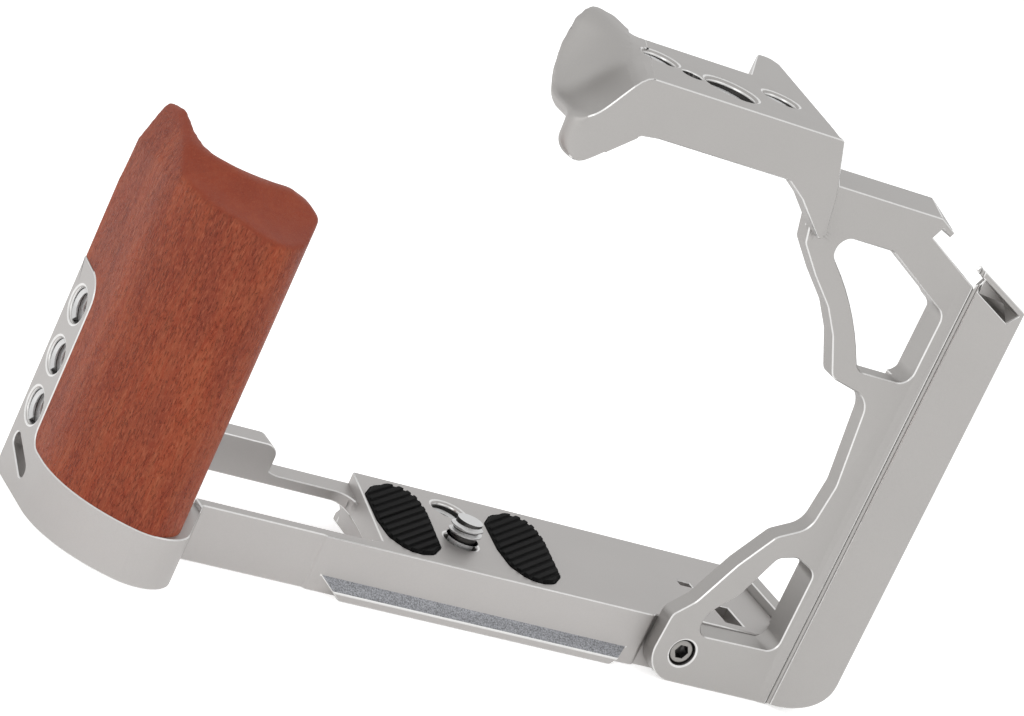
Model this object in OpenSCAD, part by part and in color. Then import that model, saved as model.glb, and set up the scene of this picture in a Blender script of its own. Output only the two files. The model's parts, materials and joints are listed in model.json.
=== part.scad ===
// Half cage for a mirrorless camera: a base plate that screws under the
// body, a wooden hand grip at its right hand end, and a side arm that
// carries a top arm with a saddle wing against the viewfinder hump.
// Seen from the front the lens looks along -Y, +X is the side arm, +Z up.
// The origin is on the camera screw axis, on the underside of the base.

/* [Base plate] */
// height of the base plate and of the front rail
base_h = 11; // [10.5:0.25:12.5]
// distance from the camera screw to the front face of the base
base_front = 13; // [12.5:0.25:14]
// depth of the base plate from front face to back face
base_depth = 34; // [33:0.5:37]
// distance from the camera screw to the right end of the base
base_end = 71.5; // [70:0.5:74]
// how far each clamping edge stands out of the base
lip_run = 2; // [1.5:0.25:2.5]
// height of the clamping edge above the floor
lip_h = 1.5; // [1:0.25:2]
// length of the clamping edge along the floor
dove_len = 59; // [50:1:62]
// thickness of the front rail beside the battery door
rail_t = 2.7; // [2.4:0.1:3.2]

/* [Rear rail] */
// height of the underside of the rear rail above the floor
rear_z = 6.4; // [6:0.1:6.6]
// height of the top of the rear rail above the floor
rear_top = 8.6; // [8.4:0.1:9.4]
// depth of the rear rail from its front wall to its back wall
rear_w = 5.5; // [5:0.1:6.5]
// height of the raised stop behind the camera
stop_top = 14.3; // [13:0.1:16]

/* [Grip] */
// distance from the camera screw to the outer face of the grip
grip_x = 88.5; // [87:0.25:92]
// forward reach of the grip from the camera screw
grip_y = 29; // [28:0.25:31]
// radius of the outer front curve of the grip
grip_r = 24.6; // [24:0.2:26]
// height of the metal foot under the wood
foot_h = 10; // [9:0.25:10.5]
// height of the front ridge of the wood
ridge_z = 66; // [60:0.5:70]
// height of the outer horn of the wood
horn_z = 75; // [74:0.5:78]

/* [Side post] */
// width of the side post that carries the threaded holes
post_w = 10; // [9.5:0.1:11]
// height of the top of the side post
post_h = 41.5; // [41:0.5:46]
// thickness of the side post
post_t = 4.4; // [4:0.1:5]
// spacing of the threaded holes up the side post
hole_step = 10; // [9.5:0.25:10.5]

/* [Side arm] */
// distance from the camera screw to the outer face of the side arm
arm_x = 75; // [75:0.25:77]
// distance from the camera screw forward to the arm's front face
arm_front = 16.5; // [16.25:0.25:17.5]
// thickness of the arm's front plate
arm_t = 4; // [3.8:0.1:4.4]
// thickness of the plate beside the rim and under the lower window
bar_t = 6; // [5.5:0.1:6.5]
// height of the top of the side arm
arm_h = 101.2; // [100.5:0.2:103]
// how far the outer edge of the arm flares forward
flare = 7.3; // [6:0.1:8]
// depth of the arm's rim from front face to back edge
rim_depth = 12.5; // [11:0.5:14]

/* [Accessory channel] */
// inside width of the channel at the upper corner
chan_w = 14.5; // [13.5:0.25:15.5]
// mouth width between the two lips
chan_mouth = 9.3; // [8.5:0.1:10]
// clear height under the lips
chan_h = 2.4; // [2:0.1:2.8]
// thickness of the lips
chan_lip = 1.2; // [1:0.1:1.4]
// slope of the channel below the horizontal
chan_a = 27; // [25:0.5:29]

/* [Top arm] */
// height of the top face above the floor
top_h = 110; // [109.5:0.25:112]
// thickness of the top plate
top_t = 5.5; // [5:0.25:6.5]
// distance from the camera screw forward to the skirt's front face
top_front = 19; // [18.75:0.25:20]
// depth of the top plate
top_depth = 26.5; // [26:0.5:29]
// height of the front skirt
skirt_h = 10; // [9:0.25:11]
// thickness of the saddle wing
wing_t = 2.6; // [2.4:0.1:3]

/* [Camera screw] */
// how far the camera screw stands out of the base
screw_out = 4.5; // [4:0.1:5.5]
// radius of the camera screw head
head_r = 6.2; // [5.5:0.1:6.6]

/* [Hidden] */

// tripod threads: quarter inch and three eighths inch, major radius
thr4 = 3.175;
thr8 = 4.763;
cut = 0.01;
back = base_depth - base_front;
flank = lip_h + lip_run;
dove_mid = 2.2;

// battery door opening between the rails
open_l = -grip_x + post_t;
open_back = back - rear_w;
open_front = -base_front + 0.4 + rail_t;
left_end = -17;
seam_x = -34;
stop_r = -34.2;
deck_lean = 0.192;

// grip outline
big_c = [-grip_x + grip_r, -7];
nose_r = 8.5;
nose_y = -grip_y + nose_r;
nose_x = big_c[0] - sqrt(pow(grip_r - nose_r, 2) - pow(nose_y - big_c[1], 2));
nose_c = [nose_x, nose_y];
nose_a0 = 360 + atan2(nose_y - big_c[1], nose_x - big_c[0]);
root_p = [-58.2, -base_front + 1.6];
root_d = norm(root_p - nose_c);
root_a = atan2(root_p[1] - nose_y, root_p[0] - nose_x);
wood_in = 1.9;
nose_a1 = 360 + root_a - acos(nose_r / root_d);
post_y = 4;
post_back = post_y + post_w / 2;
post_front = post_y - post_w / 2;
slot_y = 1.8;
slot_z = 6.3;
hole_z0 = 15;

// guide pins and lock screw of the side arm
pin_r = 2;
pin_fit = 0.04;
pin_y = [-3.5, 15];
pin_z = 5.6;
pin_len = 27;
lock_x = 44.5;
lock_z = 6.3;
lock_r = 2.5;
lock_fit = 0.03;
lobe_r = lock_z;
pocket_y = -arm_front + arm_t + 0.2;
bar_y = -arm_front + bar_t + 0.2;
wall_in = base_end + 0.1;
bar_x = 62.5;
lip_z = 9.6;
lock_back = pocket_y - 0.05;
lock_face = -arm_front + 0.45;
tip_t = 0.6;
tip_r = 1.9;
stem_r = 0.8;
stem_h = 0.9;

// camera screw and its washer
bore_r = thr4 + 0.06;
sink_z = 5;
sink_r = head_r + 0.35;
washer_t = 0.6;
head_h = 2.6;
shank_r = 2.5;
thread_z = base_h + 0.7;

// grip screws and inserts
gs_at = [[-71.5, -19.5], [-82, -15]];
gs_r = 2;
gs_head_r = 3.6;
gs_head_h = 2.4;
gs_top = 21.5;
ins_r = 3.1;
ins_z0 = 12.5;
ins_h = 9;

// hex key and magnets under the base
key_af = 2.5;
key_r = key_af / 2 / cos(30);
key_x0 = 30;
key_long = 31;
key_short = 11;
key_y = 5.5;
key_z = 1.9;
mag_r = 2;
mag_h = 1.5;
mag_at = [key_x0 + 9, key_x0 + 23];
chan_top = key_z + key_r + 0.25;

// threaded holes and locating hole of the top arm
top_at = [[-6.4, -2.1], [19.4, -3.6], [6, -8.3]];
peg_at = [-2, -7.2];
peg_h = 3;
peg_r = 1.9;

// pads on top of the base
pad_x = [-11.2, 15.1];
pad_y = 4.1;
pad_up = 0.6;
pad_down = 1;
rib_long = 40;
rib_step = 1.75;
rib_t = 1.05;

// left end of the wing and of the skirt
wing_x = -27.4;

// channel frame on the arm
chan_drop = 7.3;
chan_o = [60.45, arm_h - chan_drop];
chan_d = [cos(chan_a), -sin(chan_a)];
chan_n = [sin(chan_a), cos(chan_a)];
function chan(s, n) = chan_o + s * chan_d + n * chan_n;
slope_n = chan_h + chan_lip;
corner_x = 30;
slope_tilt = 0.2;

function arc(c, r, a0, a1, n) =
    [for (i = [0:n]) c + r * [cos(a0 + (a1 - a0) * i / n), sin(a0 + (a1 - a0) * i / n)]];
function ease(t) = t <= 0 ? 0 : t >= 1 ? 1 : t * t * (3 - 2 * t);
function mix(a, b, t) = a + (b - a) * t;

// extrudes an outline drawn in X and Z from y0 to y1
module wall_y(y0, y1) {
    translate([0, y1, 0]) rotate([90, 0, 0]) linear_extrude(y1 - y0) children();
}

// extrudes an outline drawn in Y and Z from x0 to x1
module wall_x(x0, x1) {
    translate([x0, 0, 0]) rotate([90, 0, 90]) linear_extrude(x1 - x0) children();
}

// rounds outer corners by r and inner corners by q
module soft(r, q) {
    offset(r = -q, $fn = 48) offset(r = q + r, $fn = 48) offset(r = -r, $fn = 48) children();
}

// plain bore with a chamfered mouth at each end, along +Z from z0 to z1
module tapped(r, z0, z1, c) {
    translate([0, 0, z0 - 1]) cylinder(h = z1 - z0 + 2, r = r, $fn = 64);
    translate([0, 0, z1 - c]) cylinder(h = c + cut, r1 = r, r2 = r + c, $fn = 64);
    translate([0, 0, z0 - cut]) cylinder(h = c + cut, r1 = r + c, r2 = r, $fn = 64);
}

// hexagon socket, along +Z
module hex_hole(af, h) {
    cylinder(h = h, r = af / 2 / cos(30), $fn = 6);
}

// outer line of the grip, from the side post round to the front rail
module grip_line(inset) {
    offset(r = -inset) polygon(concat(
        arc(big_c, grip_r, 180, nose_a0, 24),
        arc(nose_c, nose_r, nose_a0, nose_a1, 18),
        [root_p, [root_p[0] + 3, -base_front + 3], [-60, post_back], [-grip_x, post_back]]));
}

// space taken by the camera body behind the wood
module camera_corner(gap) {
    r = 13;
    hull() {
        translate([open_l + r + gap, -base_front + r + gap]) circle(r = r, $fn = 64);
        translate([open_l + gap, post_back - 2]) square([20, 20]);
        translate([-40, -base_front + gap]) square([10, 40]);
    }
}

// outline of the whole base seen from above
module base_plan() {
    soft(1, 0.6) difference() {
        union() {
            translate([seam_x, -base_front]) square([base_end - seam_x, base_depth]);
            translate([root_p[0] - 1, -base_front + 0.4]) square([left_end - root_p[0], rail_t]);
            intersection() {
                grip_line(0);
                translate([-grip_x - 1, -grip_y - 1]) square([grip_x, grip_y + post_back + 1]);
            }
            left_loop();
        }
        door_opening();
        translate([38, -base_front - 1]) square([base_end, pocket_y + base_front + 1]);
        translate([bar_x - 0.3, -base_front - 1]) square([base_end, bar_y + base_front + 1]);
    }
}

// loop of the base behind the side post, round to the rear rail
module left_loop() {
    r = 17.5;
    hull() {
        translate([-grip_x, 0]) square([6, 3]);
        translate([-grip_x + r, back - r]) circle(r = r, $fn = 96);
        translate([-50, open_back]) square([30, rear_w]);
        translate([-50, 2]) square([30, 4]);
    }
}

// battery door opening, its right end slanted with the plate
module door_opening() {
    soft(3.5, 0) polygon([
        [open_l, -6],
        [open_l + 6, open_front],
        [left_end - 3.8, open_front],
        [left_end - 3.8 + deck_lean * (open_back - open_front), open_back],
        [open_l, open_back]]);
}

// clamping edges under the base, both sides, with bevelled ends
module dovetail() {
    intersection() {
        wall_x(-60, 60) polygon([
            [-base_front - lip_run, 0],
            [-base_front - lip_run, lip_h],
            [-base_front, flank],
            [-base_front, flank + 0.01],
            [back, flank + 0.01],
            [back, flank],
            [back + lip_run, lip_h],
            [back + lip_run, 0]]);
        wall_y(-60, 60) polygon([
            [dove_mid - dove_len / 2, -1],
            [dove_mid - dove_len / 2, 0],
            [dove_mid - dove_len / 2 - 4.5, flank + 0.01],
            [dove_mid + dove_len / 2 + 3, flank + 0.01],
            [dove_mid + dove_len / 2, 0],
            [dove_mid + dove_len / 2, -1]]);
    }
}

// shape of the rear rail seen from the front, with its arched underside
module rear_side() {
    soft(0, 6) union() {
        translate([left_end + 3.4, 0]) square([base_end - left_end, rear_top]);
        translate([-grip_x, 0]) square([24, rear_top]);
        translate([-grip_x, rear_z]) square([grip_x, rear_top - rear_z]);
        translate([-70, rear_z]) square([stop_r + 68.5, 3.6]);
    }
}

// left edge of the plate seen from above, in line with the opening
module deck_plan() {
    polygon([
        [left_end - 3.8 - 8 * deck_lean, open_front - 8],
        [left_end - 3.8 + deck_lean * (back + 5 - open_front), back + 5],
        [base_end + 5, back + 5],
        [base_end + 5, open_front - 8]]);
}

// outline of the side post seen from the side, with its root fillet
module post_line() {
    soft(5, 0) polygon([
        [post_front, -6],
        [post_back + 8, -6],
        [post_back + 8, post_h + 1.6],
        [post_back, post_h + 0.9],
        [post_front, post_h - 0.1]]);
    difference() {
        translate([post_front - 3, foot_h - 2]) square([5, 5]);
        translate([post_front - 3, foot_h + 3]) circle(r = 3, $fn = 48);
    }
}

module side_post() {
    intersection() {
        wall_x(-grip_x, -grip_x + post_t) difference() {
            post_line();
            translate([post_front - 10, -20]) square([30, 20]);
            translate([post_back, -20]) square([30, 100]);
        }
        translate([0, 0, -1]) linear_extrude(post_h + 2) grip_line(0);
    }
}

module base_plate() {
    color([0.75, 0.74, 0.72]) difference() {
        union() {
            // front rail, foot and plate
            intersection() {
                linear_extrude(base_h) base_plan();
                union() {
                    translate([-grip_x - 5, -grip_y - 5, 0])
                        cube([grip_x - 59 + 5, grip_y + 5 + post_back, foot_h]);
                    translate([-59.5, -40, 0]) cube([200, 40 + open_front + 1, 30]);
                    wall_y(open_front, 60) rear_side();
                    translate([0, 0, rear_z]) linear_extrude(base_h) deck_plan();
                }
            }
            // raised stop on the rear rail
            intersection() {
                linear_extrude(stop_top) base_plan();
                wall_y(open_back - 1, 60) soft(2.4, 0)
                    translate([-70, rear_z]) square([stop_r + 70, stop_top - rear_z]);
            }
            // clamping edges, open under the battery door
            difference() {
                dovetail();
                translate([-60, open_front, -1])
                    cube([60 + left_end + 3.4, 60, flank + 2]);
            }
            side_post();
        }
        // camera screw passage and head recess
        translate([0, 0, -1]) cylinder(h = base_h + 2, r = bore_r, $fn = 64);
        translate([0, 0, -1]) cylinder(h = sink_z + 1, r = sink_r, $fn = 96);
        translate([0, 0, base_h - 0.4]) cylinder(h = 0.4 + cut, r1 = bore_r, r2 = bore_r + 0.4, $fn = 64);
        // tripod thread behind the camera screw
        translate([3.2, 13.8, 0]) tapped(thr4, 0, base_h, 0.6);
        // threads and strap slot of the side post
        for (i = [0:2])
            translate([-grip_x, post_y, hole_z0 + i * hole_step])
                rotate([0, 90, 0]) tapped(thr4, 0, post_t, 0.45);
        wall_x(-grip_x - 1, open_l + 1) translate([slot_y, slot_z]) rotate(21)
            hull() {
                translate([-3.6, 0]) circle(r = 1.4, $fn = 32);
                translate([3.6, 0]) circle(r = 1.4, $fn = 32);
            }
        // pad recesses
        for (x = pad_x)
            translate([x, pad_y, base_h - pad_down]) linear_extrude(2) pad_line(0);
        // rabbet for the lip of the arm
        translate([46, -base_front - 1, lip_z - 0.2]) cube([base_end, bar_y + base_front + 1, base_h]);
        // guide pin bores and locating pocket beside the arm
        for (y = pin_y)
            translate([base_end - pin_len, y, pin_z]) rotate([0, 90, 0])
                cylinder(h = pin_len + 1, r = pin_r + pin_fit, $fn = 48);
        translate([56.6, -7.9, base_h - 2.2]) cube([4.2, 7.4, 3]);
        translate([52.6, 5.2, base_h - 0.8]) cube([3, 2, 2]);
        // grip screw holes in the foot
        for (p = gs_at) translate([p[0], p[1], 0]) {
            translate([0, 0, -1]) cylinder(h = foot_h + 2, r = gs_r + 0.15, $fn = 48);
            translate([0, 0, -1]) cylinder(h = gs_head_h + 1.3, r = gs_head_r + 0.2, $fn = 48);
        }
        // key channel with magnet pockets
        translate([key_x0 - 0.8, key_y - key_r - 0.3, -1])
            cube([key_long + 1.6, 2 * key_r + 0.6, chan_top + 1]);
        translate([key_x0 - 0.8, key_y - key_short - 0.8, -1])
            cube([2 * key_r + 0.9, key_short + 0.8, chan_top + 1]);
        for (x = mag_at)
            translate([x, key_y, chan_top - 0.5]) cylinder(h = mag_h + 0.5, r = mag_r, $fn = 48);
    }
}

// outline of one pad about its own centre
module pad_line(inset) {
    offset(r = 1.8 - inset) offset(delta = -1.8) polygon([
        [-4.9, 7.2],
        [-1.4, 12.2],
        [2.6, 14.4],
        [6.2, 14.2],
        [7.9, 10.8],
        [7.7, 5.2],
        [4.5, -9.6],
        [1.2, -13.8],
        [-1.8, -15],
        [-4.8, -14.6],
        [-7, -10.6],
        [-6.9, -4]]);
}

module pad(i) {
    translate([pad_x[i], pad_y, base_h - pad_down]) {
        linear_extrude(pad_down + pad_up - 0.45) pad_line(0.05);
        intersection() {
            linear_extrude(pad_down + pad_up) pad_line(0.3);
            for (k = [-9:9])
                rotate(40.5) translate([-rib_long / 2, k * rib_step - rib_t / 2, 0])
                    cube([rib_long, rib_t, pad_down + pad_up]);
        }
    }
}

module pad_left() {
    color([0.09, 0.09, 0.09]) pad(0);
}

module pad_right() {
    color([0.09, 0.09, 0.09]) pad(1);
}

// outline of the side arm seen from the front, openings not cut
module arm_line() {
    translate([lock_x, lock_z]) circle(r = lobe_r, $fn = 64);
    soft(2.2, 4.5) polygon(concat(
        [[lock_x, lock_z - lobe_r]],
        arc([arm_x - 10, 10], 10, -90, 0, 12),
        [[arm_x, arm_h],
            [corner_x - 5, arm_h],
            [27, arm_h - 4.2],
            [29, arm_h - 12],
            [34, 84],
            [39.6, 79],
            [43.4, 74],
            [47.4, 66.2],
            [57, 64.2],
            [59.3, 46],
            [58.2, 36.6],
            [52.2, 33.4],
            [47, 26],
            [42.2, 17],
            [38.6, 13.4],
            [lock_x - lobe_r, lock_z]]));
}

module upper_window() {
    soft(2.8, 0) polygon(concat(
        [[34.4, 92.5], [47.4, 92.5], [63.8, 83.8], [63.8, 68.8], [52, 68.8]],
        arc([-1.6, 41.4], 60, 29, 53, 8)));
}

module lower_window() {
    soft(2.4, 0) polygon([
        [45, 10.5],
        [63.8, 10.8],
        [63.8, 28.2],
        [58.6, 30.4],
        [54.8, 29.4],
        [50.6, 20.6],
        [46, 15.4]]);
}

// channel opening with two lips, drawn in the channel's own frame
module channel_line() {
    polygon([
        chan(-chan_w / 2, 0),
        chan(chan_w / 2, 0),
        chan(chan_w / 2, chan_h),
        chan(chan_mouth / 2, chan_h),
        chan(chan_mouth / 2, slope_n + 3),
        chan(-chan_mouth / 2, slope_n + 3),
        chan(-chan_mouth / 2, chan_h),
        chan(-chan_w / 2, chan_h)]);
}

// front skirt of the top arm with its foot on the left and its point
// on the right, seen from the front
module skirt_line() {
    b = top_h - skirt_h;
    soft(0.8, 2) polygon(concat(
        [[-15, top_h]],
        [for (i = [0:12]) wing_top(0, i / 12)],
        [[wing_x, b - 5]],
        arc([wing_x + 3.9, b - 4.4], 3.9, 190, 290, 8),
        [[-13.4, b - 0.4],
            [-10, b],
            [18.4, b],
            [22.6, 97.4],
            [29.6, 91],
            [30.6, 92.4],
            [29, 100],
            [25.4, top_h]]));
}

// outline of the top plate seen from above, its left edge along the
// root of the wing
module top_plan(more) {
    soft(1.6, 0.8) polygon(concat(
        [for (i = [0, 1]) [wing_root(i) - more, wing_y(i)]],
        [[18.6, wing_y(1)],
            [29.6, 25.6],
            [32.4, 25.6],
            [33.2, 22.6],
            [26.2, -13],
            [24.6, -top_front]]));
}

// the wing is a sheet swept from front (t = 0) to back (t = 1): low and
// steep in front, high at the back, rising along its free edge
function wing_y(t) = mix(-top_front, -top_front + top_depth, t);
function wing_root(t) = mix(-16, -5, t);
function wing_end(t) = wing_x + 9.6 * pow(max(0, (t - 0.62) / 0.38), 1.3);
function wing_drop(t) = mix(-skirt_h - 0.3, 3.6, ease((t - 0.44) / 0.43));
function wing_knee(t) = mix(0.85, 1, t);
function wing_top(t, s) =
    [mix(wing_root(t), wing_end(t), s), top_h + wing_drop(t) * ease(s / wing_knee(t))];

// solid between two copies of the wing's upper surface: the first
// raised by z0, the second moved by dx and raised by z1 (below z0);
// e runs the sheet past its own ends
module wing_sheet(z0, z1, dx, e) {
    nt = 12;
    ns = 12;
    pts = [for (j = [0:nt]) let (q = mix(-e, 1 + e, j / nt)) each concat(
        [for (i = [0:ns]) let (p = wing_top(q, i * (1 + 3 * e) / ns)) [p[0], wing_y(q), p[1] + z0]],
        [for (i = [ns:-1:0]) let (p = wing_top(q, i * (1 + 3 * e) / ns)) [p[0] + dx, wing_y(q), p[1] + z1]])];
    m = 2 * (ns + 1);
    ends = [for (i = [0:ns - 1]) let (u = m - 1 - i) each [[i, u, i + 1], [i + 1, u, u - 1]]];
    far = [for (f = ends) [f[2] + nt * m, f[1] + nt * m, f[0] + nt * m]];
    skin = [for (j = [0:nt - 1], k = [0:m - 1]) let (a = j * m + k, b = j * m + (k + 1) % m)
        each [[a, b, b + m], [a, b + m, a + m]]];
    polyhedron(points = pts, faces = concat(ends, far, skin), convexity = 6);
}

// plan of the skirt, plate and wing with the rounded front corner
module top_bend() {
    linear_extrude(200) soft(3.9, 0)
        translate([wing_x, -top_front]) square([80, 60]);
}

module top_arm() {
    difference() {
        union() {
            difference() {
                union() {
                    translate([0, 0, top_h - top_t]) linear_extrude(top_t) top_plan(0);
                    // fuller underside round the left hand thread
                    translate([0, 0, top_h - top_t]) linear_extrude(top_t - 1.5) top_plan(4.5);
                    intersection() {
                        union() {
                            wall_y(-top_front, -top_front + 4) skirt_line();
                            wing_sheet(1, -wing_t, 0.6 * wing_t, 0);
                        }
                        top_bend();
                    }
                }
                wing_sheet(30, 0, 0, 0.02);
            }
            // web between the top plate and the side arm
            wall_y(-arm_front, -arm_front + rim_depth) polygon([
                [20, top_h - 1],
                [25.6, top_h - 1],
                [31, arm_h - 1],
                [33, arm_h - 6],
                [28.5, arm_h - 4.2],
                [22, top_h - 5]]);
        }
        // quarter inch threads at both ends, three eighths between them
        for (i = [0:2])
            translate([top_at[i][0], top_at[i][1], top_h - top_t])
                tapped(i < 2 ? thr4 : thr8, 0, top_t, i < 2 ? 0.65 : 0.7);
        // locating hole beside the large thread
        translate([peg_at[0], peg_at[1], top_h - peg_h]) cylinder(h = peg_h + 1, r = peg_r, $fn = 48);
    }
}

module side_arm() {
    color([0.76, 0.75, 0.73]) difference() {
        union() {
            // front plate
            wall_y(-arm_front, -arm_front + arm_t) arm_line();
            // thicker beside the rim, with a lip over the edge of the base
            wall_y(-arm_front, -arm_front + bar_t) intersection() {
                arm_line();
                polygon([[46.2, lip_z], [bar_x, lip_z], [bar_x, -1], [80, -1], [80, 120],
                    [25, 120], [25, 96], [50, 94], [62, 84.5], [62, 29], [46.2, 12]]);
            }
            // deeper rim along the top and the outer face
            wall_y(-arm_front, -arm_front + rim_depth) intersection() {
                arm_line();
                union() {
                    soft(0, 6) {
                        translate([corner_x, arm_h - 4.4]) square([60, 10]);
                        translate([arm_x - 6.6, 40]) square([20, 80]);
                    }
                    translate([arm_x - 6.6, base_h + 0.4]) square([20, 40]);
                    translate([wall_in, -1]) square([20, 40]);
                }
            }
            // outer edge flared forward
            intersection() {
                linear_extrude(120) polygon([
                    [arm_x - flare - 4, -arm_front + 0.1],
                    [arm_x - flare - 0.4, -arm_front - 0.6],
                    [arm_x, -arm_front - flare],
                    [arm_x, -arm_front + 1]]);
                wall_y(-60, 60) arm_line();
            }
            // foot wall behind the plate, against the end of the base
            wall_x(wall_in, arm_x) soft(2.5, 0) translate([-arm_front, 0])
                square([arm_front + back - 0.5, base_h + 1.8]);
            top_arm();
        }
        // openings
        wall_y(-60, 0) upper_window();
        wall_y(-60, bar_y) lower_window();
        wall_y(-60, 60) channel_line();
        // slope above the channel, its upper edge set back to the right
        wall_y(-60, -arm_front + 1) above_slope();
        multmatrix([[1, 0, 0, 0], [0, 1, 0, 0], [0, slope_tilt, 1, slope_tilt * arm_front], [0, 0, 0, 1]])
            wall_y(-arm_front, 60) above_slope();
        // the lower lip stands on the flared edge only
        wall_y(-arm_front + 0.2, 60) polygon([
            chan(0, 0),
            chan(30, 0),
            chan(30, 30),
            chan(0, 30)]);
        // shallow pocket under the lower lip
        wall_y(-60, -arm_front - 1) polygon([
            chan(0, 0),
            chan(chan_w / 2 + 7, 0),
            chan(chan_w / 2 + 7, chan_h),
            chan(0, chan_h)]);
        // shallow groove where the flare starts
        translate([arm_x - flare - 0.7, -arm_front - 0.75, -1])
            cylinder(h = 110, r = 0.45, $fn = 24);
        // thread of the lock screw and seats of the guide pins
        translate([lock_x, 0, lock_z]) rotate([90, 0, 0]) {
            translate([0, 0, arm_front - arm_t - 1])
                cylinder(h = arm_t + 2, r = lock_r + lock_fit, $fn = 64);
            translate([0, 0, arm_front - 0.4])
                cylinder(h = 0.4 + cut, r1 = lock_r + lock_fit, r2 = lock_r + 0.4, $fn = 64);
        }
        for (y = pin_y)
            translate([wall_in - 1, y, pin_z]) rotate([0, 90, 0])
                cylinder(h = arm_x - wall_in + 0.2, r = pin_r, $fn = 48);
    }
}

// everything above the sloping outside of the channel
module above_slope() {
    polygon([
        chan(-15, slope_n),
        chan(30, slope_n),
        chan(30, slope_n + 30),
        chan(-15, slope_n + 30)]);
}

// top of the wood: a hollow for the finger behind the front ridge, a
// second one across the outer front corner, and a horn over the post
module wood_top() {
    lift = horn_z - 75;
    // everything above the finger hollow, drawn in Y and Z
    translate([-120, 0, 0]) rotate([90, 0, 90]) linear_extrude(80) polygon(concat(
        [[-60, ridge_z - 4], [-grip_y - 1, ridge_z - 0.6]],
        arc([-base_front - 19.6, ridge_z + 26], 26.4, -78, -50.5, 12),
        [[-base_front + 5.5, ridge_z + 5.8],
            [-4.5, ridge_z + 6.5 + lift],
            [-0.6, ridge_z + 7.8 + lift],
            [3, ridge_z + 8.6 + lift],
            [post_back + 1, ridge_z + 7.2 + lift],
            [post_back + 1, horn_z + 30],
            [-60, horn_z + 30]]));
    // everything above the corner hollow, drawn across the corner
    translate([nose_x - 17, nose_y + 2.6, 0]) rotate([90, 0, 45])
        linear_extrude(80, center = true) polygon([
            [-20, ridge_z - 1],
            [0, ridge_z + 0.6],
            [3, ridge_z + 1.1],
            [6, ridge_z + 2.3],
            [9, ridge_z + 4.3],
            [11.5, ridge_z + 6.8],
            [14, ridge_z + 10],
            [14, horn_z + 30],
            [-20, horn_z + 30]]);
}

// the wood stands inside the line of the foot on the camera's side
module wood_plan() {
    difference() {
        intersection() {
            grip_line(0.15);
            translate([-wood_in, 0]) grip_line(0.15);
        }
        camera_corner(-0.1);
    }
}

module grip_block() {
    color([0.52, 0.26, 0.17]) difference() {
        intersection() {
            translate([0, 0, foot_h]) linear_extrude(horn_z - foot_h) wood_plan();
            // outline seen from the front: horn on the left, falling right
            wall_y(-60, 60) soft(0.8, 0) polygon([
                [-grip_x - 2, 0],
                [-grip_x - 2, ridge_z - 6],
                [-grip_x, ridge_z - 0.8],
                [-grip_x + 2, ridge_z + 6],
                [-grip_x + 3.2, horn_z - 0.4],
                [-grip_x + 8, horn_z],
                [-72, ridge_z + 5.9 + 3],
                [-68.6, ridge_z + 5.3],
                [-65.9, ridge_z + 4.5],
                [-63.3, ridge_z + 2.4],
                [-60.2, ridge_z - 0.8],
                [-57, ridge_z - 5],
                [-50, 0]]);
        }
        wood_top();
        // seat round the side post
        wall_x(-grip_x - 1, -grip_x + post_t + 0.05) offset(r = 0.05) post_line();
        // bores for the inserts and the screw ends
        for (p = gs_at) translate([p[0], p[1], 0]) {
            translate([0, 0, foot_h - 1]) cylinder(h = gs_top - foot_h + 2, r = gs_r + 0.3, $fn = 48);
            translate([0, 0, ins_z0]) cylinder(h = ins_h, r = ins_r, $fn = 48);
        }
    }
}

module grip_inserts() {
    color([0.78, 0.62, 0.32]) for (p = gs_at)
        translate([p[0], p[1], ins_z0]) difference() {
            cylinder(h = ins_h, r = ins_r, $fn = 48);
            translate([0, 0, -1]) cylinder(h = ins_h + 2, r = gs_r, $fn = 48);
        }
}

module grip_screws() {
    color([0.55, 0.55, 0.55]) for (p = gs_at)
        translate([p[0], p[1], 0]) difference() {
            union() {
                translate([0, 0, 0.3]) cylinder(h = gs_head_h, r = gs_head_r, $fn = 48);
                translate([0, 0, 0.3]) cylinder(h = gs_top - 0.3, r = gs_r, $fn = 48);
            }
            translate([0, 0, -1]) hex_hole(key_af, 3);
        }
}

module camera_screw() {
    neck_z = sink_z - washer_t - 0.02;
    color([0.72, 0.72, 0.7]) difference() {
        union() {
            translate([0, 0, neck_z - head_h]) cylinder(h = head_h, r = head_r, $fn = 96);
            cylinder_to(neck_z - 0.01, thread_z + 0.01, shank_r);
            cylinder_to(thread_z, base_h + screw_out - 0.5, thr4);
            translate([0, 0, base_h + screw_out - 0.5])
                cylinder(h = 0.5, r1 = thr4, r2 = thr4 - 0.5, $fn = 64);
        }
        translate([-head_r - 1, -0.8, neck_z - head_h - 1]) cube([2 * head_r + 2, 1.6, 2.2]);
    }
}

module cylinder_to(z0, z1, r) {
    translate([0, 0, z0]) cylinder(h = z1 - z0, r = r, $fn = 64);
}

module screw_washer() {
    color([0.9, 0.9, 0.86]) translate([0, 0, sink_z - washer_t - 0.01]) difference() {
        cylinder(h = washer_t, r = head_r - 0.5, $fn = 96);
        translate([0, 0, -1]) cylinder(h = 3, r = thr4 + 0.05, $fn = 64);
    }
}

// the lock screw's own axis, +Z towards the front
module on_lock() {
    translate([lock_x, 0, lock_z]) rotate([90, 0, 0]) children();
}

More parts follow.
